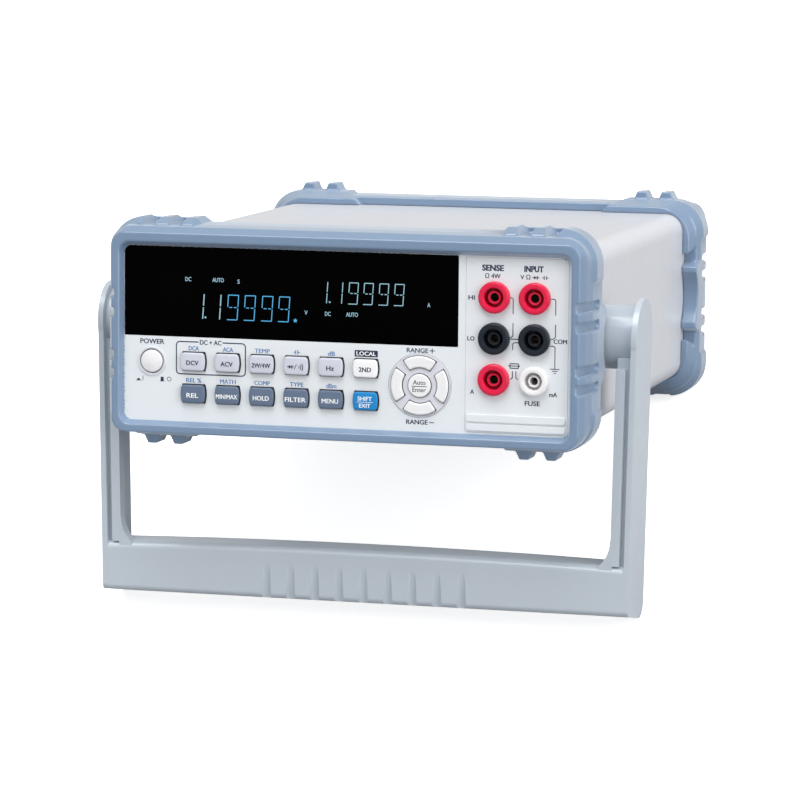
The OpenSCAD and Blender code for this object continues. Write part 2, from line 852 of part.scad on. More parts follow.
module handle_grip() {
    lean_in = -bar_top * tan(arm_lean);
    inner_x = handle_half_w - arm_inner - lean_in;
    color("#b0beca") stand() difference() {
        translate([0, hub_y, hub_z]) difference() {
            union() {
                hull() {
                    side_sheet(-handle_half_w, section_t) bar_outline($fn = hull_fn);
                    side_sheet(handle_half_w - section_t, section_t) bar_outline($fn = hull_fn);
                    for (x = [-3 * swell_pitch:swell_pitch:3 * swell_pitch])
                        translate([0, 0, swell * (1 - pow(x / handle_half_w, 2))])
                            side_sheet(x - section_t / 2, section_t) bar_outline($fn = hull_fn);
                }
                for (side = [-1, 1]) mirror([side > 0 ? 0 : 1, 0, 0]) translate([inner_x, 0, 0]) gusset();
            }
            // finger grooves, deepening towards the lower edge
            for (i = [0:flute_count - 1])
                translate([flute_x + (i - (flute_count - 1) / 2) * flute_pitch, 0, flute_top])
                    translate([0, -arm_half - flute_r, 0]) rotate([flute_slope, 0, 0])
                        translate([0, 0, -40]) cylinder(h = 60, r = flute_r);
        }
        for (side = [-1, 1]) arm_frame(side) {
            block([-plate_t, -30, -handle_drop - 5], [30, 60, handle_drop]);
            block([-arm_inner, -30, bar_top], [30, 60, handle_drop]);
        }
    }
}

module pivot_mounts() {
    color("#b0beca") stand() for (side = [-1, 1]) mirror([side > 0 ? 0 : 1, 0, 0])
        translate([case_w / 2, hub_y, hub_z]) rotate([0, 90, 0]) difference() {
            cylinder(h = mount_t, r = hub_r);
            translate([0, 0, -1]) cylinder(h = mount_t + 2, r = pin_r + 0.2);
            // detent notches
            for (a = [0:15:345]) rotate(a) translate([hub_r - 4, -0.8, mount_t - 1]) cube([3, 1.6, 2]);
        }
}

module pivot_pins() {
    color("#c8ccd0") stand() for (side = [-1, 1]) mirror([side > 0 ? 0 : 1, 0, 0])
        translate([0, hub_y, hub_z]) rotate([0, 90, 0]) {
            translate([0, 0, 103]) cylinder(h = pin_end - 103, r = pin_r);
            translate([0, 0, 101]) cylinder(h = case_w / 2 - wall - 101.2, r = 6, $fn = 6);
        }
}

// ---------------------------------------------------------------- build

front_bumper();
rear_bumper();
case_sleeve();
chassis_tray();
front_panel();
terminal_panel();
display_window();
display_module();
key_mat();
front_board();
main_board();
transformer_core();
transformer_coil();
supply_capacitors();
relays();
shield_can();
heat_sink();
rear_panel();
mains_inlet();
inlet_pins();
fuse_drawer();
mains_fuse();
serial_port();
usb_port();
jacks_red();
jacks_black();
jack_sockets();
jack_nuts();
fuse_holder();
fuse_cap();
input_fuse();
power_button();
power_rod();
power_switch();
nav_bezel();
nav_key(90);  // nav_up
nav_key(0);  // nav_right
nav_key(270);  // nav_down
nav_key(180);  // nav_left
nav_enter();
function_key(0, 0, "#d8dae6");  // key_top_1
function_key(1, 0, "#d8dae6");  // key_top_2
function_key(2, 0, "#d8dae6");  // key_top_3
function_key(3, 0, "#d8dae6");  // key_top_4
function_key(4, 0, "#d8dae6");  // key_top_5
function_key(5, 0, "#f4f4f6");  // key_top_6
function_key(0, 1, "#5b6e88");  // key_low_1
function_key(1, 1, "#5b6e88");  // key_low_2
function_key(2, 1, "#5b6e88");  // key_low_3
function_key(3, 1, "#5b6e88");  // key_low_4
function_key(4, 1, "#5b6e88");  // key_low_5
function_key(5, 1, "#0078d2");  // key_low_6
handle_arm(-1);  // handle_arm_left
handle_arm(1);  // handle_arm_right
handle_grip();
pivot_mounts();
pivot_pins();
chassis_screws();
rear_screws();
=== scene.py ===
# Looks of the bench multimeter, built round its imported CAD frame.
# Lengths are in millimetres in the instrument's own level frame: x to its right, y to its back, z up, from
# the middle of the front panel's face. LEVEL takes that frame to the tilted place where it stands.
import json
import math

import bmesh
import bpy
from mathutils import Matrix, Vector


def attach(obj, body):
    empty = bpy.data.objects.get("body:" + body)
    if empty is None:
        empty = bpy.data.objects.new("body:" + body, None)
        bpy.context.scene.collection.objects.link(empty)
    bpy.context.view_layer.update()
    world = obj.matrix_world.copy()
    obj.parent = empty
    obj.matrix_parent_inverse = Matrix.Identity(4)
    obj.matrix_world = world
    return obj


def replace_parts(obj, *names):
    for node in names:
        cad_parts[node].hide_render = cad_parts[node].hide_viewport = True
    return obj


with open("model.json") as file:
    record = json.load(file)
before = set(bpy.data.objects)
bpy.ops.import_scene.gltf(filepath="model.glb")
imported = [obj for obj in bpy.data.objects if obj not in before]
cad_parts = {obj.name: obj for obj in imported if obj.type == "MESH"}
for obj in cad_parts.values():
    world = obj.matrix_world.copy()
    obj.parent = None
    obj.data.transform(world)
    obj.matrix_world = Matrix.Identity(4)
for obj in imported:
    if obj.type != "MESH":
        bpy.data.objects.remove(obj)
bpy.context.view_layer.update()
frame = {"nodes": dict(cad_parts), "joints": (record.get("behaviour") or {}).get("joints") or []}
MM = 0.001


# ---------------------------------------------------------------- the level frame

def joint(name):
    return next(j for j in frame["joints"] if j["name"] == name)


# midway between the handle's pivots
HUB = Vector((0, 50, 1)) * MM
BACK = Vector(joint("nav_enter_press")["axis"])
UP = Vector((1, 0, 0)).cross(BACK)
TURN = Matrix(((1, 0, 0), BACK, UP)).transposed()
LEVEL = Matrix.Translation(Vector(joint("handle_swing")["pos_m"]) - TURN @ HUB) @ TURN.to_4x4()


def level_box(node):
    """Lowest and highest corner of a CAD node in the level frame, in millimetres."""
    to_level = LEVEL.inverted()
    points = [to_level @ v.co / MM for v in frame["nodes"][node].data.vertices]
    return [Vector(f(p[i] for p in points) for i in range(3)) for f in (min, max)]


def seat(node):
    """x and z of the middle of a CAD node, and the y of its front."""
    low, high = level_box(node)
    return (low.x + high.x) / 2, (low.z + high.z) / 2, low.y


# ---------------------------------------------------------------- camera

def make_camera():
    azimuth, elevation, roll = (math.radians(a) for a in (15.13, 7.17, 0.459))
    spot = Vector((498.8, -1743.6, 200.6)) * MM
    forward = Vector((-math.sin(azimuth) * math.cos(elevation), math.cos(azimuth) * math.cos(elevation),
                      -math.sin(elevation)))
    right = forward.cross(Vector((0, 0, 1))).normalized()
    up = right.cross(forward)
    right, up = (right * math.cos(roll) + up * math.sin(roll), up * math.cos(roll) - right * math.sin(roll))
    data = bpy.data.cameras.new("camera")
    data.lens, data.sensor_width = 176.58, 36
    camera = bpy.data.objects.new("camera", data)
    bpy.context.scene.collection.objects.link(camera)
    axes = Matrix((right, up, -forward)).transposed().to_4x4()
    camera.matrix_world = LEVEL @ Matrix.Translation(spot) @ axes
    bpy.context.scene.camera = camera


make_camera()


# ---------------------------------------------------------------- finishes

def rgb(code):
    """Linear colour of a hex code."""
    parts = [int(code[i:i + 2], 16) / 255 for i in (1, 3, 5)]
    return tuple(p / 12.92 if p < 0.04045 else ((p + 0.055) / 1.055) ** 2.4 for p in parts) + (1,)


def shade(colour, share):
    return tuple(min(1, c * share) for c in colour[:3]) + (1,)


def add(tree, kind, inputs=None, **settings):
    """A new node, with its settings, and its inputs given as numbers or as other nodes' outputs."""
    node = tree.nodes.new("ShaderNode" + kind)
    for key, value in settings.items():
        setattr(node, key, value)
    for key, value in (inputs or {}).items():
        if isinstance(value, bpy.types.NodeSocket):
            tree.links.new(value, node.inputs[key])
        else:
            node.inputs[key].default_value = value
    return node


def fresh(name):
    """The material of that name with only a shader in it: its tree, its shader, its object coordinates."""
    material = bpy.data.materials.get(name) or bpy.data.materials.new(name)
    material.use_nodes = True
    tree = material.node_tree
    tree.nodes.clear()
    shader = add(tree, "BsdfPrincipled")
    add(tree, "OutputMaterial", {"Surface": shader.outputs[0]})
    return tree, shader, add(tree, "TexCoord").outputs["Object"]


def clouds(tree, place, pitch, detail=2.0):
    """Noise whose blotches are about pitch millimetres across."""
    inputs = {"Vector": place, "Scale": 1 / (pitch * MM), "Detail": detail, "Roughness": 0.55}
    return add(tree, "TexNoise", inputs).outputs["Fac"]


def blend(tree, share, low, high):
    return add(tree, "Mix", {0: share, 6: low, 7: high}, data_type="RGBA").outputs[2]


def spread(tree, value, low, high, start=0.3, end=0.7):
    """The value's range from start to end, carried over to low to high."""
    inputs = {"Value": value, "From Min": start, "From Max": end, "To Min": low, "To Max": high}
    return add(tree, "MapRange", inputs).outputs[0]


# painted shade for the sides of a key, and the y at which the sides of a key and of an arrow key turn to it
KEY_SIDE_SHADE = "#181b22"
KEY_SHADE_FROM, NAV_SHADE_FROM = -1.45, -0.9


def moulded(name, colour, rough=0.45, grain=0.35, depth=0.02, tone=0.05, gloss=0.5, coat=0.0, sheen=0.0,
            shade_from=None):
    """A moulded or painted surface: mottled colour, uneven gloss and a fine grain.
    Behind a given y the sides of a key turn near-black: painted shade, as of the gap round a key."""
    tree, shader, place = fresh(name)
    base = rgb(colour)
    mottle = clouds(tree, place, pitch=22, detail=4)
    surface = blend(tree, mottle, shade(base, 1 - tone), shade(base, 1 + tone))
    if shade_from is not None:
        # painted shade: behind that y the sides of a key darken to a near-black
        back = add(tree, "SeparateXYZ", {"Vector": place}).outputs["Y"]
        side_shade = spread(tree, back, 0, 1, (shade_from - 0.25) * MM, (shade_from + 0.15) * MM)
        surface = blend(tree, side_shade, surface, rgb(KEY_SIDE_SHADE))
    tree.links.new(surface, shader.inputs["Base Color"])
    patchy = spread(tree, clouds(tree, place, pitch=9, detail=3), rough - 0.05, rough + 0.05)
    tree.links.new(patchy, shader.inputs["Roughness"])
    height = clouds(tree, place, grain)
    bump = add(tree, "Bump", {"Strength": 0.35, "Distance": depth * MM, "Height": height})
    tree.links.new(bump.outputs[0], shader.inputs["Normal"])
    shader.inputs["Specular IOR Level"].default_value = gloss
    shader.inputs["Coat Weight"].default_value = coat
    shader.inputs["Coat Roughness"].default_value = 0.18
    shader.inputs["Coat IOR"].default_value = 1.6
    shader.inputs["Sheen Weight"].default_value = sheen
    shader.inputs["Sheen Roughness"].default_value = 0.35
    shader.inputs["Sheen Tint"].default_value = (0.86, 0.93, 1, 1)


def metal(name, colour, rough, stretch=(1, 1, 1)):
    """Bare or plated metal, with a grain that may be drawn out along one direction."""
    tree, shader, place = fresh(name)
    drawn = add(tree, "Mapping", {"Vector": place, "Scale": stretch}).outputs[0]
    grain = clouds(tree, drawn, pitch=0.3, detail=3)
    base = rgb(colour)
    tone = 0.08
    surface = blend(tree, grain, shade(base, 1 - tone), shade(base, 1 + tone))
    tree.links.new(surface, shader.inputs["Base Color"])
    tree.links.new(spread(tree, grain, rough - 0.08, rough + 0.08), shader.inputs["Roughness"])
    bump = add(tree, "Bump", {"Strength": 0.2, "Distance": 0.01 * MM, "Height": grain})
    tree.links.new(bump.outputs[0], shader.inputs["Normal"])
    shader.inputs["Metallic"].default_value = 1


# a wave texture repeats after this length divided by its scale
WAVE_LENGTH = 0.314


def banded(name, light, dark, pitch, direction, rough, metallic):
    """Turns of wire or laminations: fine bands of two tones, raised one above the other."""
    tree, shader, place = fresh(name)
    inputs = {"Vector": place, "Scale": WAVE_LENGTH / (pitch * MM), "Distortion": 0.6, "Detail": 1.0}
    bands = add(tree, "TexWave", inputs, bands_direction=direction).outputs["Fac"]
    tree.links.new(blend(tree, bands, rgb(dark), rgb(light)), shader.inputs["Base Color"])
    bump = add(tree, "Bump", {"Strength": 0.5, "Distance": 0.1 * MM, "Height": bands})
    tree.links.new(bump.outputs[0], shader.inputs["Normal"])
    shader.inputs["Roughness"].default_value = rough
    shader.inputs["Metallic"].default_value = metallic


def laminate(name):
    """A circuit board: solder mask with copper tracks showing through it."""
    tree, shader, place = fresh(name)
    pitch = 5
    cells = add(tree, "TexVoronoi", {"Vector": place, "Scale": 1 / (pitch * MM)},
                feature="DISTANCE_TO_EDGE", distance="CHEBYCHEV")
    tracks = spread(tree, cells.outputs["Distance"], 1, 0, 0.03, 0.06)
    tree.links.new(blend(tree, tracks, rgb("#155a38"), rgb("#2a8558")), shader.inputs["Base Color"])
    bump = add(tree, "Bump", {"Strength": 0.4, "Distance": 0.04 * MM, "Height": tracks})
    tree.links.new(bump.outputs[0], shader.inputs["Normal"])
    shader.inputs["Roughness"].default_value = 0.3


def dark_glass(name):
    """The display's filter: polished, nearly black, with the faintest smears."""
    tree, shader, place = fresh(name)
    smears = clouds(tree, place, pitch=30, detail=4)
    tree.links.new(blend(tree, smears, rgb("#000000"), rgb("#020203")), shader.inputs["Base Color"])
    tree.links.new(spread(tree, smears, 0.07, 0.14), shader.inputs["Roughness"])
    shader.inputs["Specular IOR Level"].default_value = 0.02


def clear_glass(name):
    """A fuse's tube, with a faint haze."""
    tree, shader, place = fresh(name)
    haze = clouds(tree, place, pitch=3, detail=3)
    tree.links.new(blend(tree, haze, rgb("#dfe6e8"), rgb("#f2f6f6")), shader.inputs["Base Color"])
    tree.links.new(spread(tree, haze, 0.04, 0.12), shader.inputs["Roughness"])
    shader.inputs["Transmission Weight"].default_value = 0.8


def lit(name, colour, strength):
    """Phosphor that glows, a little brighter in some places than in others."""
    tree, shader, place = fresh(name)
    base = rgb(colour)
    glow = blend(tree, clouds(tree, place, pitch=1.5), shade(base, 0.8), shade(base, 1.2))
    tree.links.new(glow, shader.inputs["Emission Color"])
    shader.inputs["Emission Strength"].default_value = strength
    shader.inputs["Base Color"].default_value = (0.01, 0.01, 0.01, 1)


def make_finishes():
    moulded("bumper_rubber", "#7089a6", rough=0.42, grain=0.3, depth=0.03, tone=0.03, coat=0.9, sheen=1.0)
    moulded("handle_plastic", "#b9c3cc", rough=0.4, grain=0.4, depth=0.03, tone=0.025, coat=0.7, sheen=0.8)
    moulded("case_paint", "#d7d9de", rough=0.38, grain=0.8, depth=0.02, tone=0.015, coat=0.4)
    moulded("rear_metal", "#cfd2d6", rough=0.42, grain=0.8, depth=0.02, tone=0.02)
    moulded("panel_plastic", "#e2e7eb", rough=0.5, grain=0.3, depth=0.03, tone=0.015)
    moulded("mat_rubber", "#d9d9d4", rough=0.7)
    moulded("dark_plastic", "#24262b", rough=0.5, tone=0.1)
    moulded("jack_red", "#dd0f42", rough=0.3, depth=0.01, gloss=0.4, coat=0.1)
    moulded("jack_black", "#151c27", rough=0.32, depth=0.01, tone=0.08, gloss=0.35)
    moulded("jack_white", "#f0eeee", rough=0.28, depth=0.01, tone=0.02, coat=0.3)
    # the sides of the keys and arrow keys carry painted shade behind the given y
    moulded("key_white", "#f3f3f5", rough=0.4, depth=0.01, tone=0.02, shade_from=KEY_SHADE_FROM)
    moulded("key_light", "#cdd0dc", rough=0.42, depth=0.01, tone=0.02, shade_from=KEY_SHADE_FROM)
    moulded("key_slate", "#5f7088", rough=0.42, depth=0.01, tone=0.04, shade_from=KEY_SHADE_FROM)
    moulded("key_blue", "#0583c6", rough=0.42, depth=0.01, tone=0.04, shade_from=KEY_SHADE_FROM)
    moulded("nav_grey", "#d9dae3", rough=0.45, tone=0.02)
    moulded("button_ring", "#c9ced6", rough=0.3, depth=0.01, tone=0.02, coat=0.4)
    moulded("pearl", "#eceaec", rough=0.3, depth=0.01, tone=0.02, coat=0.4)
    moulded("nav_white", "#ededee", rough=0.36, depth=0.01, tone=0.02, shade_from=NAV_SHADE_FROM)
    metal("plated_steel", "#c9ccd1", rough=0.3)
    metal("aluminium", "#b9bcc2", rough=0.4, stretch=(1, 1, 0.05))
    metal("contact_brass", "#8d8675", rough=0.35)
    banded("lamination_steel", "#5d6066", "#3c3f44", pitch=0.5, direction="Z", rough=0.5, metallic=0.6)
    banded("copper_winding", "#c07a35", "#8a4f1c", pitch=0.6, direction="X", rough=0.35, metallic=0.5)
    laminate("board_laminate")
    dark_glass("window_glass")
    clear_glass("window_clear")
    moulded("ink_dark", "#1b2a48", rough=0.55, tone=0.06)
    moulded("ink_blue", "#286ba9", rough=0.55, tone=0.06)
    moulded("ink_white", "#f6f8fa", rough=0.5, tone=0.01)
    lit("lit_blue", "#4fb2e6", strength=1.0)
    lit("lit_white", "#9fcfe0", strength=0.9)


make_finishes()


# ---------------------------------------------------------------- mesh helpers

def piece_of(bm, name, finish, body, sharp=35):
    """Makes a piece that rides on a body from a bmesh drawn in millimetres in the level frame.
    Edges that turn by more than sharp degrees stay sharp."""
    bmesh.ops.recalc_face_normals(bm, faces=bm.faces)
    bmesh.ops.scale(bm, vec=(MM, MM, MM), verts=bm.verts)
    mesh = bpy.data.meshes.new(name)
    bm.to_mesh(mesh)
    bm.free()
    mesh.shade_smooth()
    mesh.set_sharp_from_angle(angle=math.radians(sharp))
    mesh.materials.append(bpy.data.materials[finish])
    piece = bpy.data.objects.new(name, mesh)
    bpy.context.scene.collection.objects.link(piece)
    piece.matrix_world = LEVEL
    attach(piece, body)
    return piece


def on_circle(x, z, r, angle):
    """The point of a circle at an angle in degrees."""
    a = math.radians(angle)
    return Vector((x + r * math.cos(a), z + r * math.sin(a)))


def arc(x, z, r, start, end, steps):
    """Points along an arc, from one angle to another in degrees."""
    return [on_circle(x, z, r, start + (end - start) * i / steps) for i in range(steps + 1)]


def circle(x, z, r, steps):
    return arc(x, z, r, 0, 360, steps)[:-1]


def softened(corners, steps=5):
    """An outline through corners given as (x, z, r), each rounded off from r before it to r behind it."""
    outline = []
    for i, (x, z, r) in enumerate(corners):
        here = Vector((x, z))
        if r == 0:
            outline.append(here)
            continue
        before, behind = (Vector(corners[(i + k) % len(corners)][:2]) for k in (-1, 1))
        start, end = (here + (p - here).normalized() * r for p in (before, behind))
        for k in range(steps + 1):
            t = k / steps
            outline.append(start * (1 - t) ** 2 + here * 2 * t * (1 - t) + end * t * t)
    return outline


def boxed(left, right, low, high, r):
    """A rounded rectangle, counter-clockwise."""
    return softened([(left, low, r), (right, low, r), (right, high, r), (left, high, r)])


def grown(outline, by):
    """A counter-clockwise outline moved outward, a little less at very sharp corners."""
    least = 0.4
    moved = []
    for i, p in enumerate(outline):
        before, behind = outline[i - 1], outline[(i + 1) % len(outline)]
        side_shade = [(q - o).normalized() for o, q in ((before, p), (p, behind))]
        normals = [Vector((d.y, -d.x)) for d in side_shade]
        middle = (normals[0] + normals[1]).normalized()
        moved.append(p + middle * by / max(least, middle.dot(normals[0])))
    return moved


def round_over(front, r, steps=4):
    """Levels (growth, y) that round a front edge over."""
    turns = [math.radians(90 * i / steps) for i in range(steps + 1)]
    return [(-r * (1 - math.cos(a)), front + r * (1 - math.sin(a))) for a in turns]


def rim_over(radius, front, r):
    """Profile points that round over the front edge of a turned piece."""
    return [(radius + growth, y) for growth, y in round_over(front, r, 6)]


def loft(bm, outline, levels, crown=0.0):
    """A closed solid through copies of an outline, from back to front, with a front that bulges by crown."""
    rings = [[bm.verts.new((p.x, y, p.y)) for p in grown(outline, by)] for by, y in levels]
    if crown:
        top = [v.co.copy() for v in rings[-1]]
        middle = sum(top, Vector()) / len(top)
        for share in (0.8, 0.55, 0.3):
            lift = Vector((0, -crown * (1 - share * share), 0))
            rings.append([bm.verts.new(middle + (p - middle) * share + lift) for p in top])
    for low, high in zip(rings, rings[1:]):
        for i in range(len(low)):
            k = (i + 1) % len(low)
            bm.faces.new((low[i], low[k], high[k], high[i]))
    bm.faces.new(rings[0])
    bm.faces.new(rings[-1])


def turn(bm, profile, x, z, steps=64):
    """Turns a closed profile of (radius, y) about an axis along y. A radius of 0 is a point on the axis."""
    rings = []
    for r, y in profile:
        if r == 0:
            rings.append([bm.verts.new((x, y, z))] * steps)
        else:
            rings.append([bm.verts.new((x + p.x, y, z + p.y)) for p in circle(0, 0, r, steps)])
    for i, low in enumerate(rings):
        high = rings[(i + 1) % len(rings)]
        if low[0] is low[1] and high[0] is high[1]:
            continue
        for a in range(steps):
            b = (a + 1) % steps
            bm.faces.new(tuple(dict.fromkeys((low[a], low[b], high[b], high[a]))))


def prism(bm, outline, front, back):
    """A flat plate with the outline's shape, between two values of y."""
    rings = [[bm.verts.new((p[0], y, p[1])) for p in outline] for y in (front, back)]
    for i in range(len(outline)):
        k = (i + 1) % len(outline)
        bm.faces.new((rings[0][i], rings[0][k], rings[1][k], rings[1][i]))
    for ring in rings:
        bm.faces.new(ring)


# ---------------------------------------------------------------- CAD pieces that keep their shape

# corners closer than this are one
TOUCHING = 0.005 * MM


def modifier(node, kind, name, **settings):
    m = frame["nodes"][node].modifiers.new(name, kind)
    for key, value in settings.items():
        setattr(m, key, value)


def crisp(node, width):
    """Small even bevels on a hard piece's edges."""
    flat, edge = math.radians(0.3), math.radians(35)
    modifier(node, "WELD", "weld", merge_threshold=TOUCHING)
    modifier(node, "DECIMATE", "flats", decimate_type="DISSOLVE", angle_limit=flat)
    modifier(node, "BEVEL", "edges", width=width * MM, segments=3, limit_method="ANGLE", angle_limit=edge,
             harden_normals=True)
    modifier(node, "WEIGHTED_NORMAL", "normals", keep_sharp=True)


def rubbery(node):
    """Edges worn round, as on a thick soft moulding."""
    voxel, faces_kept = 0.55, 0.4
    modifier(node, "WELD", "weld", merge_threshold=TOUCHING)
    modifier(node, "REMESH", "skin", mode="VOXEL", voxel_size=voxel * MM, use_smooth_shade=True)
    modifier(node, "SMOOTH", "soften", factor=0.5, iterations=2)
    modifier(node, "DECIMATE", "lighten", ratio=faces_kept)


# widths of the bevels
EDGES = {
    "case_sleeve": 0.3, "terminal_panel": 0.25, "front_panel": 0.12, "rear_panel": 0.25, "mains_inlet": 0.6,
    "fuse_drawer": 0.4, "serial_port": 0.2, "usb_port": 0.2, "handle_arm_left": 0.8, "handle_arm_right": 0.8,
    "handle_grip": 0.35, "pivot_mounts": 0.4, "nav_bezel": 0.15,
}
for node, width in EDGES.items():
    crisp(node, width)
rubbery("front_bumper")
rubbery("rear_bumper")


# ---------------------------------------------------------------- window, keys and buttons

def make_window():
    """The window reaches a little under the bumper's lip, to the left and at the top."""
    low, high = level_box("display_window")
    under_lip, corner, edge = 0.7, 1.0, 0.15
    outline = boxed(low.x - under_lip, high.x, low.z, high.z + under_lip, corner)
    bm = bmesh.new()
    loft(bm, outline, [(0, high.y)] + round_over(low.y, edge, 2))
    window = piece_of(bm, "display_filter", "window_glass", "instrument")
    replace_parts(window, "display_window")


# the flange that keeps a key in its hole, how far a key's ends and front bulge, and its rounding
FLANGE, FLANGE_THICK = 0.9, 1
KEY_BULGE, KEY_CROWN = 0.9, 0.12
KEY_CORNER, KEY_EDGE = 1.7, 0.75


def key_outline(x, z, w, h):
    """A key's barrel shape: straight above and below, bulging at both ends."""
    r = (h * h / 4 + KEY_BULGE * KEY_BULGE) / (2 * KEY_BULGE)
    bulging = 0.22 * h
    reach = math.degrees(math.asin(bulging / r))
    end = [(p.x, p.y, 0) for p in arc(x + w / 2 - r, z, r, -reach, reach, 6)]
    other = [(2 * x - px, 2 * z - pz, 0) for px, pz, _ in end]
    corner_x, corner_z = w / 2 - KEY_BULGE / 2, h / 2
    high = [(x + corner_x, z + corner_z, KEY_CORNER), (x - corner_x, z + corner_z, KEY_CORNER)]
    low = [(2 * x - px, 2 * z - pz, r) for px, pz, r in high]
    return softened(end + high + other + low)


def make_key(node, finish):
    low, high = level_box(node)
    w, h = high.x - low.x - 2 * FLANGE, high.z - low.z - 2 * FLANGE
    outline = key_outline((low.x + high.x) / 2, (low.z + high.z) / 2, w, h)
    bm = bmesh.new()
    foot = high.y - FLANGE_THICK
    side = [(FLANGE, high.y), (FLANGE, foot), (0, foot)]
    loft(bm, outline, side + round_over(low.y + KEY_CROWN, KEY_EDGE), crown=KEY_CROWN)
    piece = piece_of(bm, node + "_cap", finish, node, sharp=50)
    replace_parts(piece, node)


def make_keys():
    """Two rows of keys, the last of each in a colour of its own."""
    for row, plain, last in (("top", "key_light", "key_white"), ("low", "key_slate", "key_blue")):
        for i in range(1, 6):
            make_key(f"key_{row}_{i}", plain)
        make_key(f"key_{row}_6", last)


# radii of the ring of arrow keys, how far a key reaches to either side in degrees, and its rounding
NAV_INNER, NAV_OUTER, NAV_SPREAD = 8.4, 13.8, 35
NAV_CORNER, NAV_EDGE = 1.1, 0.8


def make_arrow(node, angle):
    """An arrow key, in the middle of the ring's quarter at that angle."""
    x, z, _ = seat("nav_bezel")
    low, high = level_box(node)
    # the arcs stop short of the corners, which are rounded off
    outer_turn, inner_turn = NAV_SPREAD - 6, NAV_SPREAD - 8
    outer = [(p.x, p.y, 0) for p in arc(x, z, NAV_OUTER, angle - outer_turn, angle + outer_turn, 14)]
    inner = [(p.x, p.y, 0) for p in arc(x, z, NAV_INNER, angle + inner_turn, angle - inner_turn, 10)]
    end, other = ([(*on_circle(x, z, r, angle + side * NAV_SPREAD), NAV_CORNER)
                   for r in (NAV_OUTER, NAV_INNER)] for side in (1, -1))
    outline = softened(outer + end + inner + other[::-1])
    edge = round_over(low.y, NAV_EDGE)
    # a narrow flat border keeps the shading of the front even
    border = (edge[-1][0] - 0.05, edge[-1][1])
    bm = bmesh.new()
    loft(bm, outline, [(0, high.y)] + edge + [border])
    piece = piece_of(bm, node + "_cap", "nav_white", node, sharp=50)
    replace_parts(piece, node)


def domed(front, r, back, edge, crown):
    """Profile of a round cap: its side, a rounded edge, and a front that bulges by crown."""
    bend = rim_over(r, front + crown, edge)
    rise = [(bend[-1][0] * s, front + crown * s * s) for s in (0.8, 0.6, 0.4, 0.2)]
    return [(0, back), (r, back)] + bend + rise + [(0, front)]


def make_round_cap(node, name, finish, edge, crown, r):
    x, z, front = seat(node)
    bm = bmesh.new()
    turn(bm, domed(front, r, level_box(node)[1].y, edge, crown), x, z)
    piece = piece_of(bm, name, finish, node, sharp=50)
    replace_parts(piece, node)


def make_power_surround():
    """A low bead round the power button."""
    x, z, _ = seat("power_button")
    bm = bmesh.new()
    profile = [(5.8, 0.4), (5.8, -0.3), (6.0, -0.5), (6.35, -0.55), (6.7, -0.45), (6.95, -0.1), (7.0, 0.4)]
    turn(bm, profile, x, z)
    piece_of(bm, "power_surround", "button_ring", "instrument", sharp=60)


# ---------------------------------------------------------------- jacks

# y of the jacks' fronts
JACK_FRONT = -3


def jack_profile(rim, shroud, post, hole, body, depth, back):
    """A shrouded socket: a rim with a rounded edge, a deep ring-shaped slot, and a post with a hole.
    Behind its lining the hole is wider, to hold the metal socket."""
    front = JACK_FRONT
    floor, tip, lining = front + depth, front + 1.9, front + 6
    mouth = [(shroud + 0.7, front), (shroud + 0.3, front + 0.1), (shroud, front + 0.5), (shroud, floor)]
    stem = [(post, floor), (post, tip + 0.35), (post - 0.3, tip), (hole + 0.25, tip),
            (hole, tip + 0.3), (hole, lining), (hole + 0.5, lining), (hole + 0.5, back)]
    return [(body, back), (body, 0), (rim, 0)] + rim_over(rim, front, 1.1) + mouth + stem


def jack_spots():
    """x and z of the six jacks, row by row."""
    low, high = level_box("jacks_black")
    rim = high.z - low.z
    middle_z = (low.z + high.z) / 2
    xs = (low.x + rim / 2, high.x - rim / 2)
    pitch = xs[1] - xs[0]
    return [(x, middle_z + row * pitch) for row in (1, 0, -1) for x in xs]


def make_jacks():
    spots = jack_spots()
    for node, finish, places in (("jacks_red", "jack_red", (0, 1, 4)), ("jacks_black", "jack_black", (2, 3))):
        profile = jack_profile(rim=7.4, shroud=4.5, post=3.15, hole=2.1, body=6, depth=8,
                               back=level_box(node)[1].y)
        bm = bmesh.new()
        for i in places:
            turn(bm, profile, *spots[i])
        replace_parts(piece_of(bm, node + "_moulding", finish, "instrument"), node)
    profile = jack_profile(rim=6.85, shroud=4.1, post=2.8, hole=1.9, body=5, depth=6,
                           back=level_box("fuse_cap")[1].y)
    bm = bmesh.new()
    turn(bm, profile, *spots[5])
    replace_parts(piece_of(bm, "fuse_cap_moulding", "jack_white", "input_fuse_cap"), "fuse_cap")


make_window()
make_keys()
for quarter, side in enumerate(("right", "up", "left", "down")):
    make_arrow("nav_" + side, 90 * quarter)
make_round_cap("nav_enter", "nav_enter_cap", "nav_white", edge=0.6, crown=0.0, r=5.45)
make_power_surround()
make_round_cap("power_button", "power_button_cap", "pearl", edge=0.8, crown=0.6, r=5.35)
make_jacks()


# ---------------------------------------------------------------- printing and lit marks

# A word's place is its left, right and base, and a bar's is its left, right, low and high.
# how far a mark stands out, how tall a capital is at the font's own size, and letters with narrow gaps
INK = 0.03
CAPITAL = 0.682
CROWDED = set("M4")
LETTERS = bpy.data.curves.new("letters", "FONT")
LETTERS.resolution_u = 3
LETTERS.extrude = 0.5
WRITER = bpy.data.objects.new("writer", LETTERS)


def word_mesh(text, swell):
    """The word as a mesh, at the font's own size, with its strokes swelled."""
    LETTERS.body = text
    LETTERS.offset = swell
    return bpy.data.meshes.new_from_object(WRITER.evaluated_get(bpy.context.evaluated_depsgraph_get()))


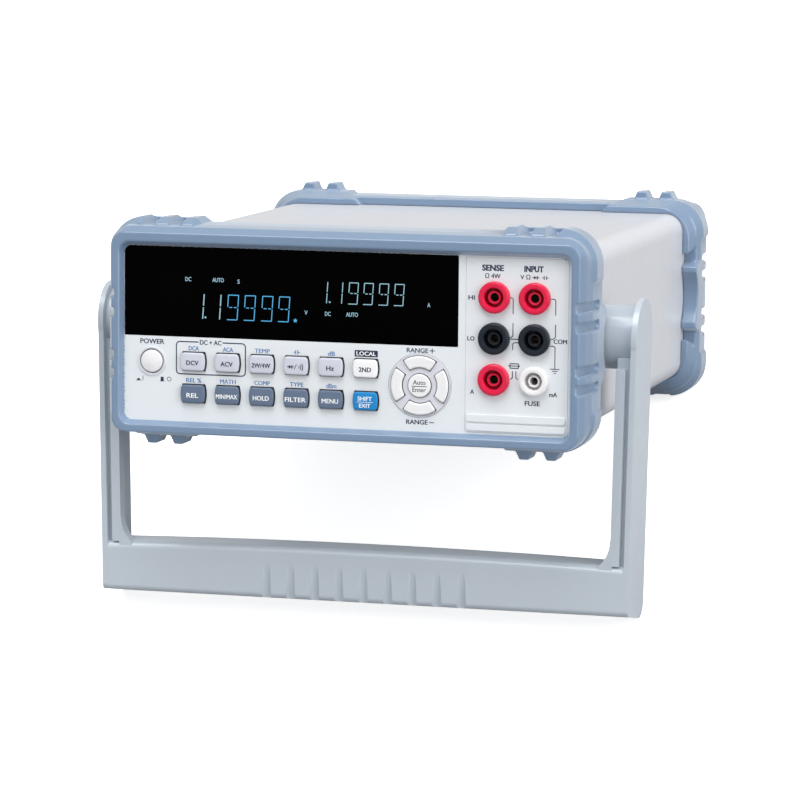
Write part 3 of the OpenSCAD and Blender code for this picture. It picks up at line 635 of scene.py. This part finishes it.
class Ink:
    """Flat marks in one colour on a face that looks forward, gathered into one piece."""

    def __init__(self, name, finish, body="instrument", face=0.0, slot=None):
        self.made = (name, finish, body, slot)
        self.face = face
        self.bm = bmesh.new()

    def word(self, text, left, right, base, height, bold):
        """A word that fills left to right and stands on base; height is that of its capitals.
        It is drawn twice, to thicken its strokes sideways by bold, and they swell where there is room."""
        swell, side = (0, bold * 0.8) if CROWDED & set(text) else (bold * 0.16, bold * 0.45)
        for shift in (-side, side):
            mesh = word_mesh(text, swell)
            xs = [v.co.x for v in mesh.vertices]
            low = min(xs)
            wide = (right - left) / (max(xs) - low)
            # the copies overlap, so the second stands a little higher
            lift = INK * (1.1 if shift > 0 else 1)
            for v in mesh.vertices:
                v.co = ((v.co.x - low) * wide + left + shift, self.face - lift * (1 if v.co.z > 0 else -1),
                        base + v.co.y * height / CAPITAL)
            self.bm.from_mesh(mesh)
            bpy.data.meshes.remove(mesh)

    def plate(self, outline):
        prism(self.bm, outline, self.face - INK, self.face + INK)

    def bar(self, left, right, low, high):
        self.plate([(left, low), (right, low), (right, high), (left, high)])

    def line(self, points, width, closed=False):
        """A line of even width with mitred corners, cut back where they are very sharp."""
        least = 0.3
        points = [Vector(p) for p in points]
        last = len(points) - 1
        rails = []
        for i, p in enumerate(points):
            before = points[i - 1] if i or closed else p - (points[1] - p)
            behind = points[(i + 1) % len(points)] if i < last or closed else p + (p - points[i - 1])
            side_shade = [(b - a).normalized() for a, b in ((before, p), (p, behind))]
            normal = Vector((side_shade[0].y + side_shade[1].y, -side_shade[0].x - side_shade[1].x)).normalized()
            reach = width / 2 / max(least, normal.dot(Vector((side_shade[0].y, -side_shade[0].x))))
            rails.append((p + normal * reach, p - normal * reach))
        if closed:
            rails.append(rails[0])
        for (a, b), (c, d) in zip(rails, rails[1:]):
            self.plate((a, b, d, c))

    def done(self):
        name, finish, body, slot = self.made
        return piece_of(self.bm, name, finish, body)


def capacitor_sign(ink, x, z, h, w):
    """Two plates with a lead on either side."""
    half_gap, half_plate, lead = 0.5, 0.2, 0.36
    for side in (-1, 1):
        plate = x + side * half_gap
        ink.bar(plate - half_plate, plate + half_plate, z - h / 2, z + h / 2)
        ink.line([(plate, z), (x + side * w / 2, z)], lead)


def diode_sign(ink, x, z, h, w):
    """A triangle against a bar, with a lead on either side."""
    tail, nose, stop, lead = x - 0.8, x + 0.5, x + 0.95, 0.38
    ink.plate([(tail, z - h / 2), (nose, z), (tail, z + h / 2)])
    ink.bar(nose, stop, z - h / 2, z + h / 2)
    ink.line([(x - w / 2, z), (x + w / 2, z)], lead)


def print_power(dark):
    """The power button's name, and its signs for latched in and on, and for released and off."""
    dark.word("POWER", -99.7, -87.8, -4.65, 2.2, 0.09)
    dark.bar(-101.2, -99.9, -22.3, -21.4)
    dark.bar(-101.9, -99.2, -22.45, -22.15)
    dark.bar(-98.55, -98.25, -22.3, -20.1)
    dark.bar(-89.6, -88.1, -22.3, -20.3)
    dark.bar(-90.1, -87.6, -22.45, -22.15)
    dark.line(circle(-85.4, -21.25, 0.95, 24), 0.28, closed=True)


def print_frame(dark):
    """The frame round the two keys that are held together, open at the top for its title."""
    left, right, low, high = -81.8, -47.8, -18.5, -3.2
    title_left, title_right, corner = -70.9, -59.0, 2
    box = softened([(left, high, corner), (left, low, corner), (right, low, corner), (right, high, corner)])
    dark.line([(title_left, high)] + box + [(title_right, high)], 0.55)
    dark.word("DC + AC", -70.2, -59.6, -4.35, 2.1, 0.09)


def print_ranges(dark):
    """What the upper and the lower arrow key do, with a plus and a minus, and a line round their ring."""
    for base, plus in ((-4.15, True), (-37.6, False)):
        dark.word("RANGE", 30.4, 40.7, base, 2.0, 0.09)
        middle = base + 1.0
        dark.bar(41.4, 43.8, middle - 0.2, middle + 0.2)
        if plus:
            dark.bar(42.4, 42.8, middle - 1.2, middle + 1.2)
    x, z, _ = seat("nav_bezel")
    dark.line(circle(x, z, 15.1, 96), 0.09, closed=True)


def print_key_names():
    """The second function of each key but the last, above it."""
    blue = Ink("second_function_print", "ink_blue", slot="key_blue")
    upper = (("DCA", 5.0), ("ACA", 5.0), ("TEMP", 7.3), (None, 0), ("dB", 3.4))
    lower = (("REL %", 7.4), ("MATH", 7.6), ("COMP", 7.6), ("TYPE", 6.6), ("dBm", 4.9))
    for row, words, lift in (("top", upper, 5.2), ("low", lower, 5.3)):
        for i, (word, w) in enumerate(words, 1):
            x, z, _ = seat(f"key_{row}_{i}")
            if word:
                blue.word(word, x - w / 2, x + w / 2, z + lift, 1.95, 0.06)
            else:
                capacitor_sign(blue, x, z + lift + 1, 2, 3.2)
    blue.done()


def print_local(dark):
    """A dark plate above the last upper key, with its word in white."""
    x, z, _ = seat("key_top_6")
    dark.plate(boxed(x - 5.6, x + 5.6, z + 5.25, z + 8.35, 0.5))
    in_front = -2 * INK
    white = Ink("local_print", "ink_white", face=in_front, slot="key_white")
    white.word("LOCAL", x - 4.7, x + 4.7, z + 5.9, 1.8, 0.08)
    white.done()


def print_jack_names(dark):
    for text, left, right, base, height, bold in (
            ("SENSE", 66.0, 76.2, 35.0, 2.6, 0.17), ("INPUT", 85.9, 94.9, 35.0, 2.6, 0.17),
            ("Ω 4W", 67.5, 74.7, 31.5, 2.1, 0.09), ("V Ω", 84.0, 88.8, 31.5, 2.0, 0.07),
            ("HI", 59.6, 62.6, 21.4, 1.9, 0.1), ("LO", 59.3, 62.7, 2.4, 1.9, 0.1),
            ("COM", 100.1, 106.3, 2.3, 2.0, 0.13), ("A", 60.9, 62.7, -22.3, 2.0, 0.1),
            ("mA", 98.3, 102.0, -22.3, 2.0, 0.1), ("FUSE", 86.8, 94.0, -26.8, 2.1, 0.09)):
        dark.word(text, left, right, base, height, bold)
    diode_sign(dark, 91.3, 32.4, 1.7, 3.4)
    capacitor_sign(dark, 95.8, 32.4, 1.7, 3.0)


# width of the leads drawn between the jacks
LEAD = 0.42


def print_ground(dark, x, z):
    """Three bars, each shorter than the one above it."""
    for i, half in enumerate((2.2, 1.3, 0.5)):
        dark.bar(x - half, x + half, z - 0.4 - 0.95 * i, z - 0.95 * i)


def print_wiring(dark):
    """Which jacks work together, drawn as leads between them."""
    spots = jack_spots()
    sense_x, input_x = spots[0][0], spots[1][0]
    high_z, low_z, row_z = spots[0][1], spots[2][1], spots[4][1]
    middle = (sense_x + input_x) / 2
    # from the upper jacks down to the lower ones, with a gap half-way
    for x, side in ((sense_x, middle - 0.8), (input_x, input_x + 9.7)):
        bend = arc(side - 1, high_z - 1, 1, 90, 0, 4)
        dark.line([(x + 7.5, high_z), *bend, (side, high_z - 7.5)], LEAD)
        dark.line([(side, low_z + 7.4), (side, low_z + 1.5), (side - 1, low_z + 0.6), (x + 7.5, low_z + 0.6)],
                  LEAD)
    dark.line([(sense_x + 7.5, low_z), (input_x - 7.5, low_z)], LEAD)
    # from the common jack down to the fuse and to ground
    bend = arc(middle + 0.2, low_z - 2.6, 1, 90, 180, 4)
    dark.line([(input_x - 7.4, low_z - 1.6), *bend, (middle - 0.8, low_z - 5)], LEAD)
    ground = input_x + 9.6
    bend = arc(ground - 1, low_z - 3.6, 1, 90, 0, 4)
    dark.line([(input_x + 7.2, low_z - 2.6), *bend, (ground, low_z - 13)], LEAD)
    print_ground(dark, ground, low_z - 13.0)
    # a fuse, and the leads below it to the current jacks
    fuse_z = low_z - 12.4
    dark.line(boxed(middle - 2, middle + 2, fuse_z - 1.05, fuse_z + 1.05, 0.4), LEAD + 0.05, closed=True)
    dark.line([(middle - 2.8, fuse_z), (middle + 2.8, fuse_z)], LEAD)
    for side in (-1, 1):
        end = middle + side * 0.8
        dark.line([(end, fuse_z - 2.4), (end, row_z + 1.2), (end + side * 1.0, row_z + 0.4)], LEAD)


# the word on each key, and its width
KEY_WORDS = {
    "key_top_1": ("DCV", 6.0), "key_top_2": ("ACV", 6.0), "key_top_3": ("2W/4W", 9.0),
    "key_top_5": ("Hz", 3.7), "key_top_6": ("2ND", 5.9), "key_low_1": ("REL", 5.8),
    "key_low_2": ("MIN/MAX", 10.4), "key_low_3": ("HOLD", 7.8), "key_low_4": ("FILTER", 10.2),
    "key_low_5": ("MENU", 7.9),
}


def print_key_words():
    """The words on the keys, which move with them."""
    for key, (word, w) in KEY_WORDS.items():
        x, z, front = seat(key)
        if key.startswith("key_low"):
            finish, slot, drop, bold = "ink_white", "key_white", 1.65, 0.075
        else:
            finish, slot, drop, bold = "ink_dark", "key_slate", 1.5, 0.09
        ink = Ink(key + "_word", finish, key, front, slot)
        ink.word(word, x - w / 2, x + w / 2, z - drop, 2.05, bold)
        ink.done()


def print_continuity_key():
    """A diode, a slash and three waves of sound."""
    x, z, front = seat("key_top_4")
    ink = Ink("key_top_4_word", "ink_dark", "key_top_4", front, "key_slate")
    diode_sign(ink, x - 2.4, z - 0.5, 1.7, 3.2)
    ink.line([(x - 0.6, z - 1.6), (x + 0.5, z + 0.7)], 0.34)
    for r in (0.9, 1.8, 2.7):
        ink.line(arc(x + 0.9, z - 0.5, r, -38, 38, 6), 0.34)
    ink.done()


def print_exit_key():
    x, z, front = seat("key_low_6")
    ink = Ink("key_low_6_word", "ink_white", "key_low_6", front, "key_white")
    ink.word("SHIFT", x - 3.4, x + 3.4, z + 0.3, 1.8, 0.06)
    ink.bar(x - 3.9, x + 3.9, z - 0.55, z - 0.35)
    ink.word("EXIT", x - 2.7, x + 2.7, z - 3.0, 1.8, 0.06)
    ink.done()


def print_enter_key():
    x, z, front = seat("nav_enter")
    ink = Ink("nav_enter_word", "ink_dark", "nav_enter", front, "key_slate")
    ink.word("Auto", x - 3.0, x + 3.0, z + 0.5, 2.0, 0.03)
    ink.bar(x - 3.6, x + 3.6, z - 0.5, z - 0.18)
    ink.word("Enter", x - 3.2, x + 3.2, z - 2.9, 2.0, 0.03)
    ink.done()


# the strokes that light up in a seven-stroke digit: a top, b upper right, c lower right, d bottom,
# f upper left, g middle
STROKES = {"1": "bc", "9": "abcdfg"}
SLANT = 0.065


def lit_digit(ink, figure, right, low, high, w, stroke):
    """A slanted seven-stroke digit whose right-hand strokes stand at right."""
    middle = (low + high) / 2
    gap = stroke * 0.75

    def at(x, z):
        return x + (z - high) * SLANT, z

    ends = {
        "a": (right - w, high, right, high), "d": (right - w, low, right, low),
        "b": (right, middle + gap, right, high), "c": (right, low, right, middle - gap),
        "f": (right - w, middle + gap, right - w, high),
    }
    for name in STROKES[figure]:
        if name == "g":
            # in two halves
            for share in (0.3, 0.74):
                x = right - w * (1 - share)
                ink.line([at(x - w * 0.14, middle), at(x + w * 0.14, middle)], stroke)
        else:
            x0, z0, x1, z1 = ends[name]
            ink.line([at(x0, z0), at(x1, z1)], stroke)


def lit_star(ink, x, z, r):
    """A star with five points."""
    notch = 0.45
    ink.plate([on_circle(x, z, r * (notch if i % 2 else 1), 90 + 36 * i) for i in range(10)])


def light_display():
    """The main and the second reading, each with its units and modes."""
    face = level_box("display_window")[0].y
    blue = Ink("lit_figures", "lit_blue", face=face)
    white = Ink("lit_marks", "lit_white", face=face)
    main_rights = (-68.1, -59.8, -51.2, -42.9, -34.4, -26.2)
    second_rights = (-7.8, -0.5, 7.0, 14.2, 21.6, 29.0)
    for right, figure in zip(main_rights, "119999"):
        ink = white if figure == "1" else blue
        lit_digit(ink, figure, right, 7.9, 19.5, 5.0, 0.5 if figure == "1" else 0.4)
    for right, figure in zip(second_rights, "119999"):
        lit_digit(white, figure, right, 17.3, 27.2, 4.3, 0.38)
    # the decimal points
    white.bar(-67.9, -67.1, 8.2, 9.0)
    white.bar(-7.2, -6.5, 17.5, 18.2)
    lit_star(blue, -23.5, 8.6, 1.15)
    for text, left, right, base in (
            ("V", -19.0, -17.6, 11.6), ("DC", -77.4, -74.5, 25.4), ("AUTO", -64.1, -58.5, 25.4),
            ("S", -51.8, -50.7, 25.0), ("A", 40.1, 41.5, 17.1), ("DC", -9.1, -6.4, 11.4),
            ("AUTO", 1.1, 6.8, 11.4)):
        white.word(text, left, right, base, 1.9, 0.04)
    blue.done()
    white.done()


def print_panel():
    dark = Ink("panel_print", "ink_dark", slot="key_slate")
    print_power(dark)
    print_frame(dark)
    print_ranges(dark)
    print_key_names()
    print_local(dark)
    print_jack_names(dark)
    print_wiring(dark)
    dark.done()


print_panel()
print_key_words()
print_continuity_key()
print_exit_key()
print_enter_key()
light_display()


# ---------------------------------------------------------------- stage and lights

def make_floor():
    """A pale floor that looks evenly white, and throws little light back up."""
    bm = bmesh.new()
    bmesh.ops.create_grid(bm, x_segments=1, y_segments=1, size=12)
    mesh = bpy.data.meshes.new("floor")
    bm.to_mesh(mesh)
    bm.free()
    tree, shader, place = fresh("floor_white")
    seen = add(tree, "LightPath").outputs["Is Camera Ray"]
    mottle = blend(tree, clouds(tree, place, pitch=400), rgb("#e6e8ec"), rgb("#eeeff2"))
    tree.links.new(blend(tree, seen, rgb("#9a9a9c"), mottle), shader.inputs["Base Color"])
    shader.inputs["Roughness"].default_value = 0.9
    shader.inputs["Specular IOR Level"].default_value = 0.1
    shader.inputs["Emission Color"].default_value = (1, 1, 1, 1)
    tree.links.new(spread(tree, seen, 0, 0.75, 0, 1), shader.inputs["Emission Strength"])
    mesh.materials.append(bpy.data.materials["floor_white"])
    floor = bpy.data.objects.new("floor", mesh)
    bpy.context.scene.collection.objects.link(floor)


def make_light(name, strength, angle, direction):
    data = bpy.data.lights.new(name, "SUN")
    data.energy, data.angle = strength, math.radians(angle)
    light = bpy.data.objects.new(name, data)
    light.rotation_mode = "QUATERNION"
    light.rotation_quaternion = Vector(direction).to_track_quat("-Z", "Y")
    bpy.context.scene.collection.objects.link(light)


def make_world():
    world = bpy.data.worlds.new("studio")
    world.use_nodes = True
    backdrop = world.node_tree.nodes["Background"]
    backdrop.inputs["Color"].default_value = (1, 1, 1, 1)
    backdrop.inputs["Strength"].default_value = 0.6
    bpy.context.scene.world = world
    bpy.context.scene.view_settings.view_transform = "Standard"


make_floor()
make_light("soft_top_light", 2.0, 40, (0.05, 0.12, -1.0))
make_light("soft_side_fill", 1.8, 60, (-0.93, 0.26, -0.35))
make_world()
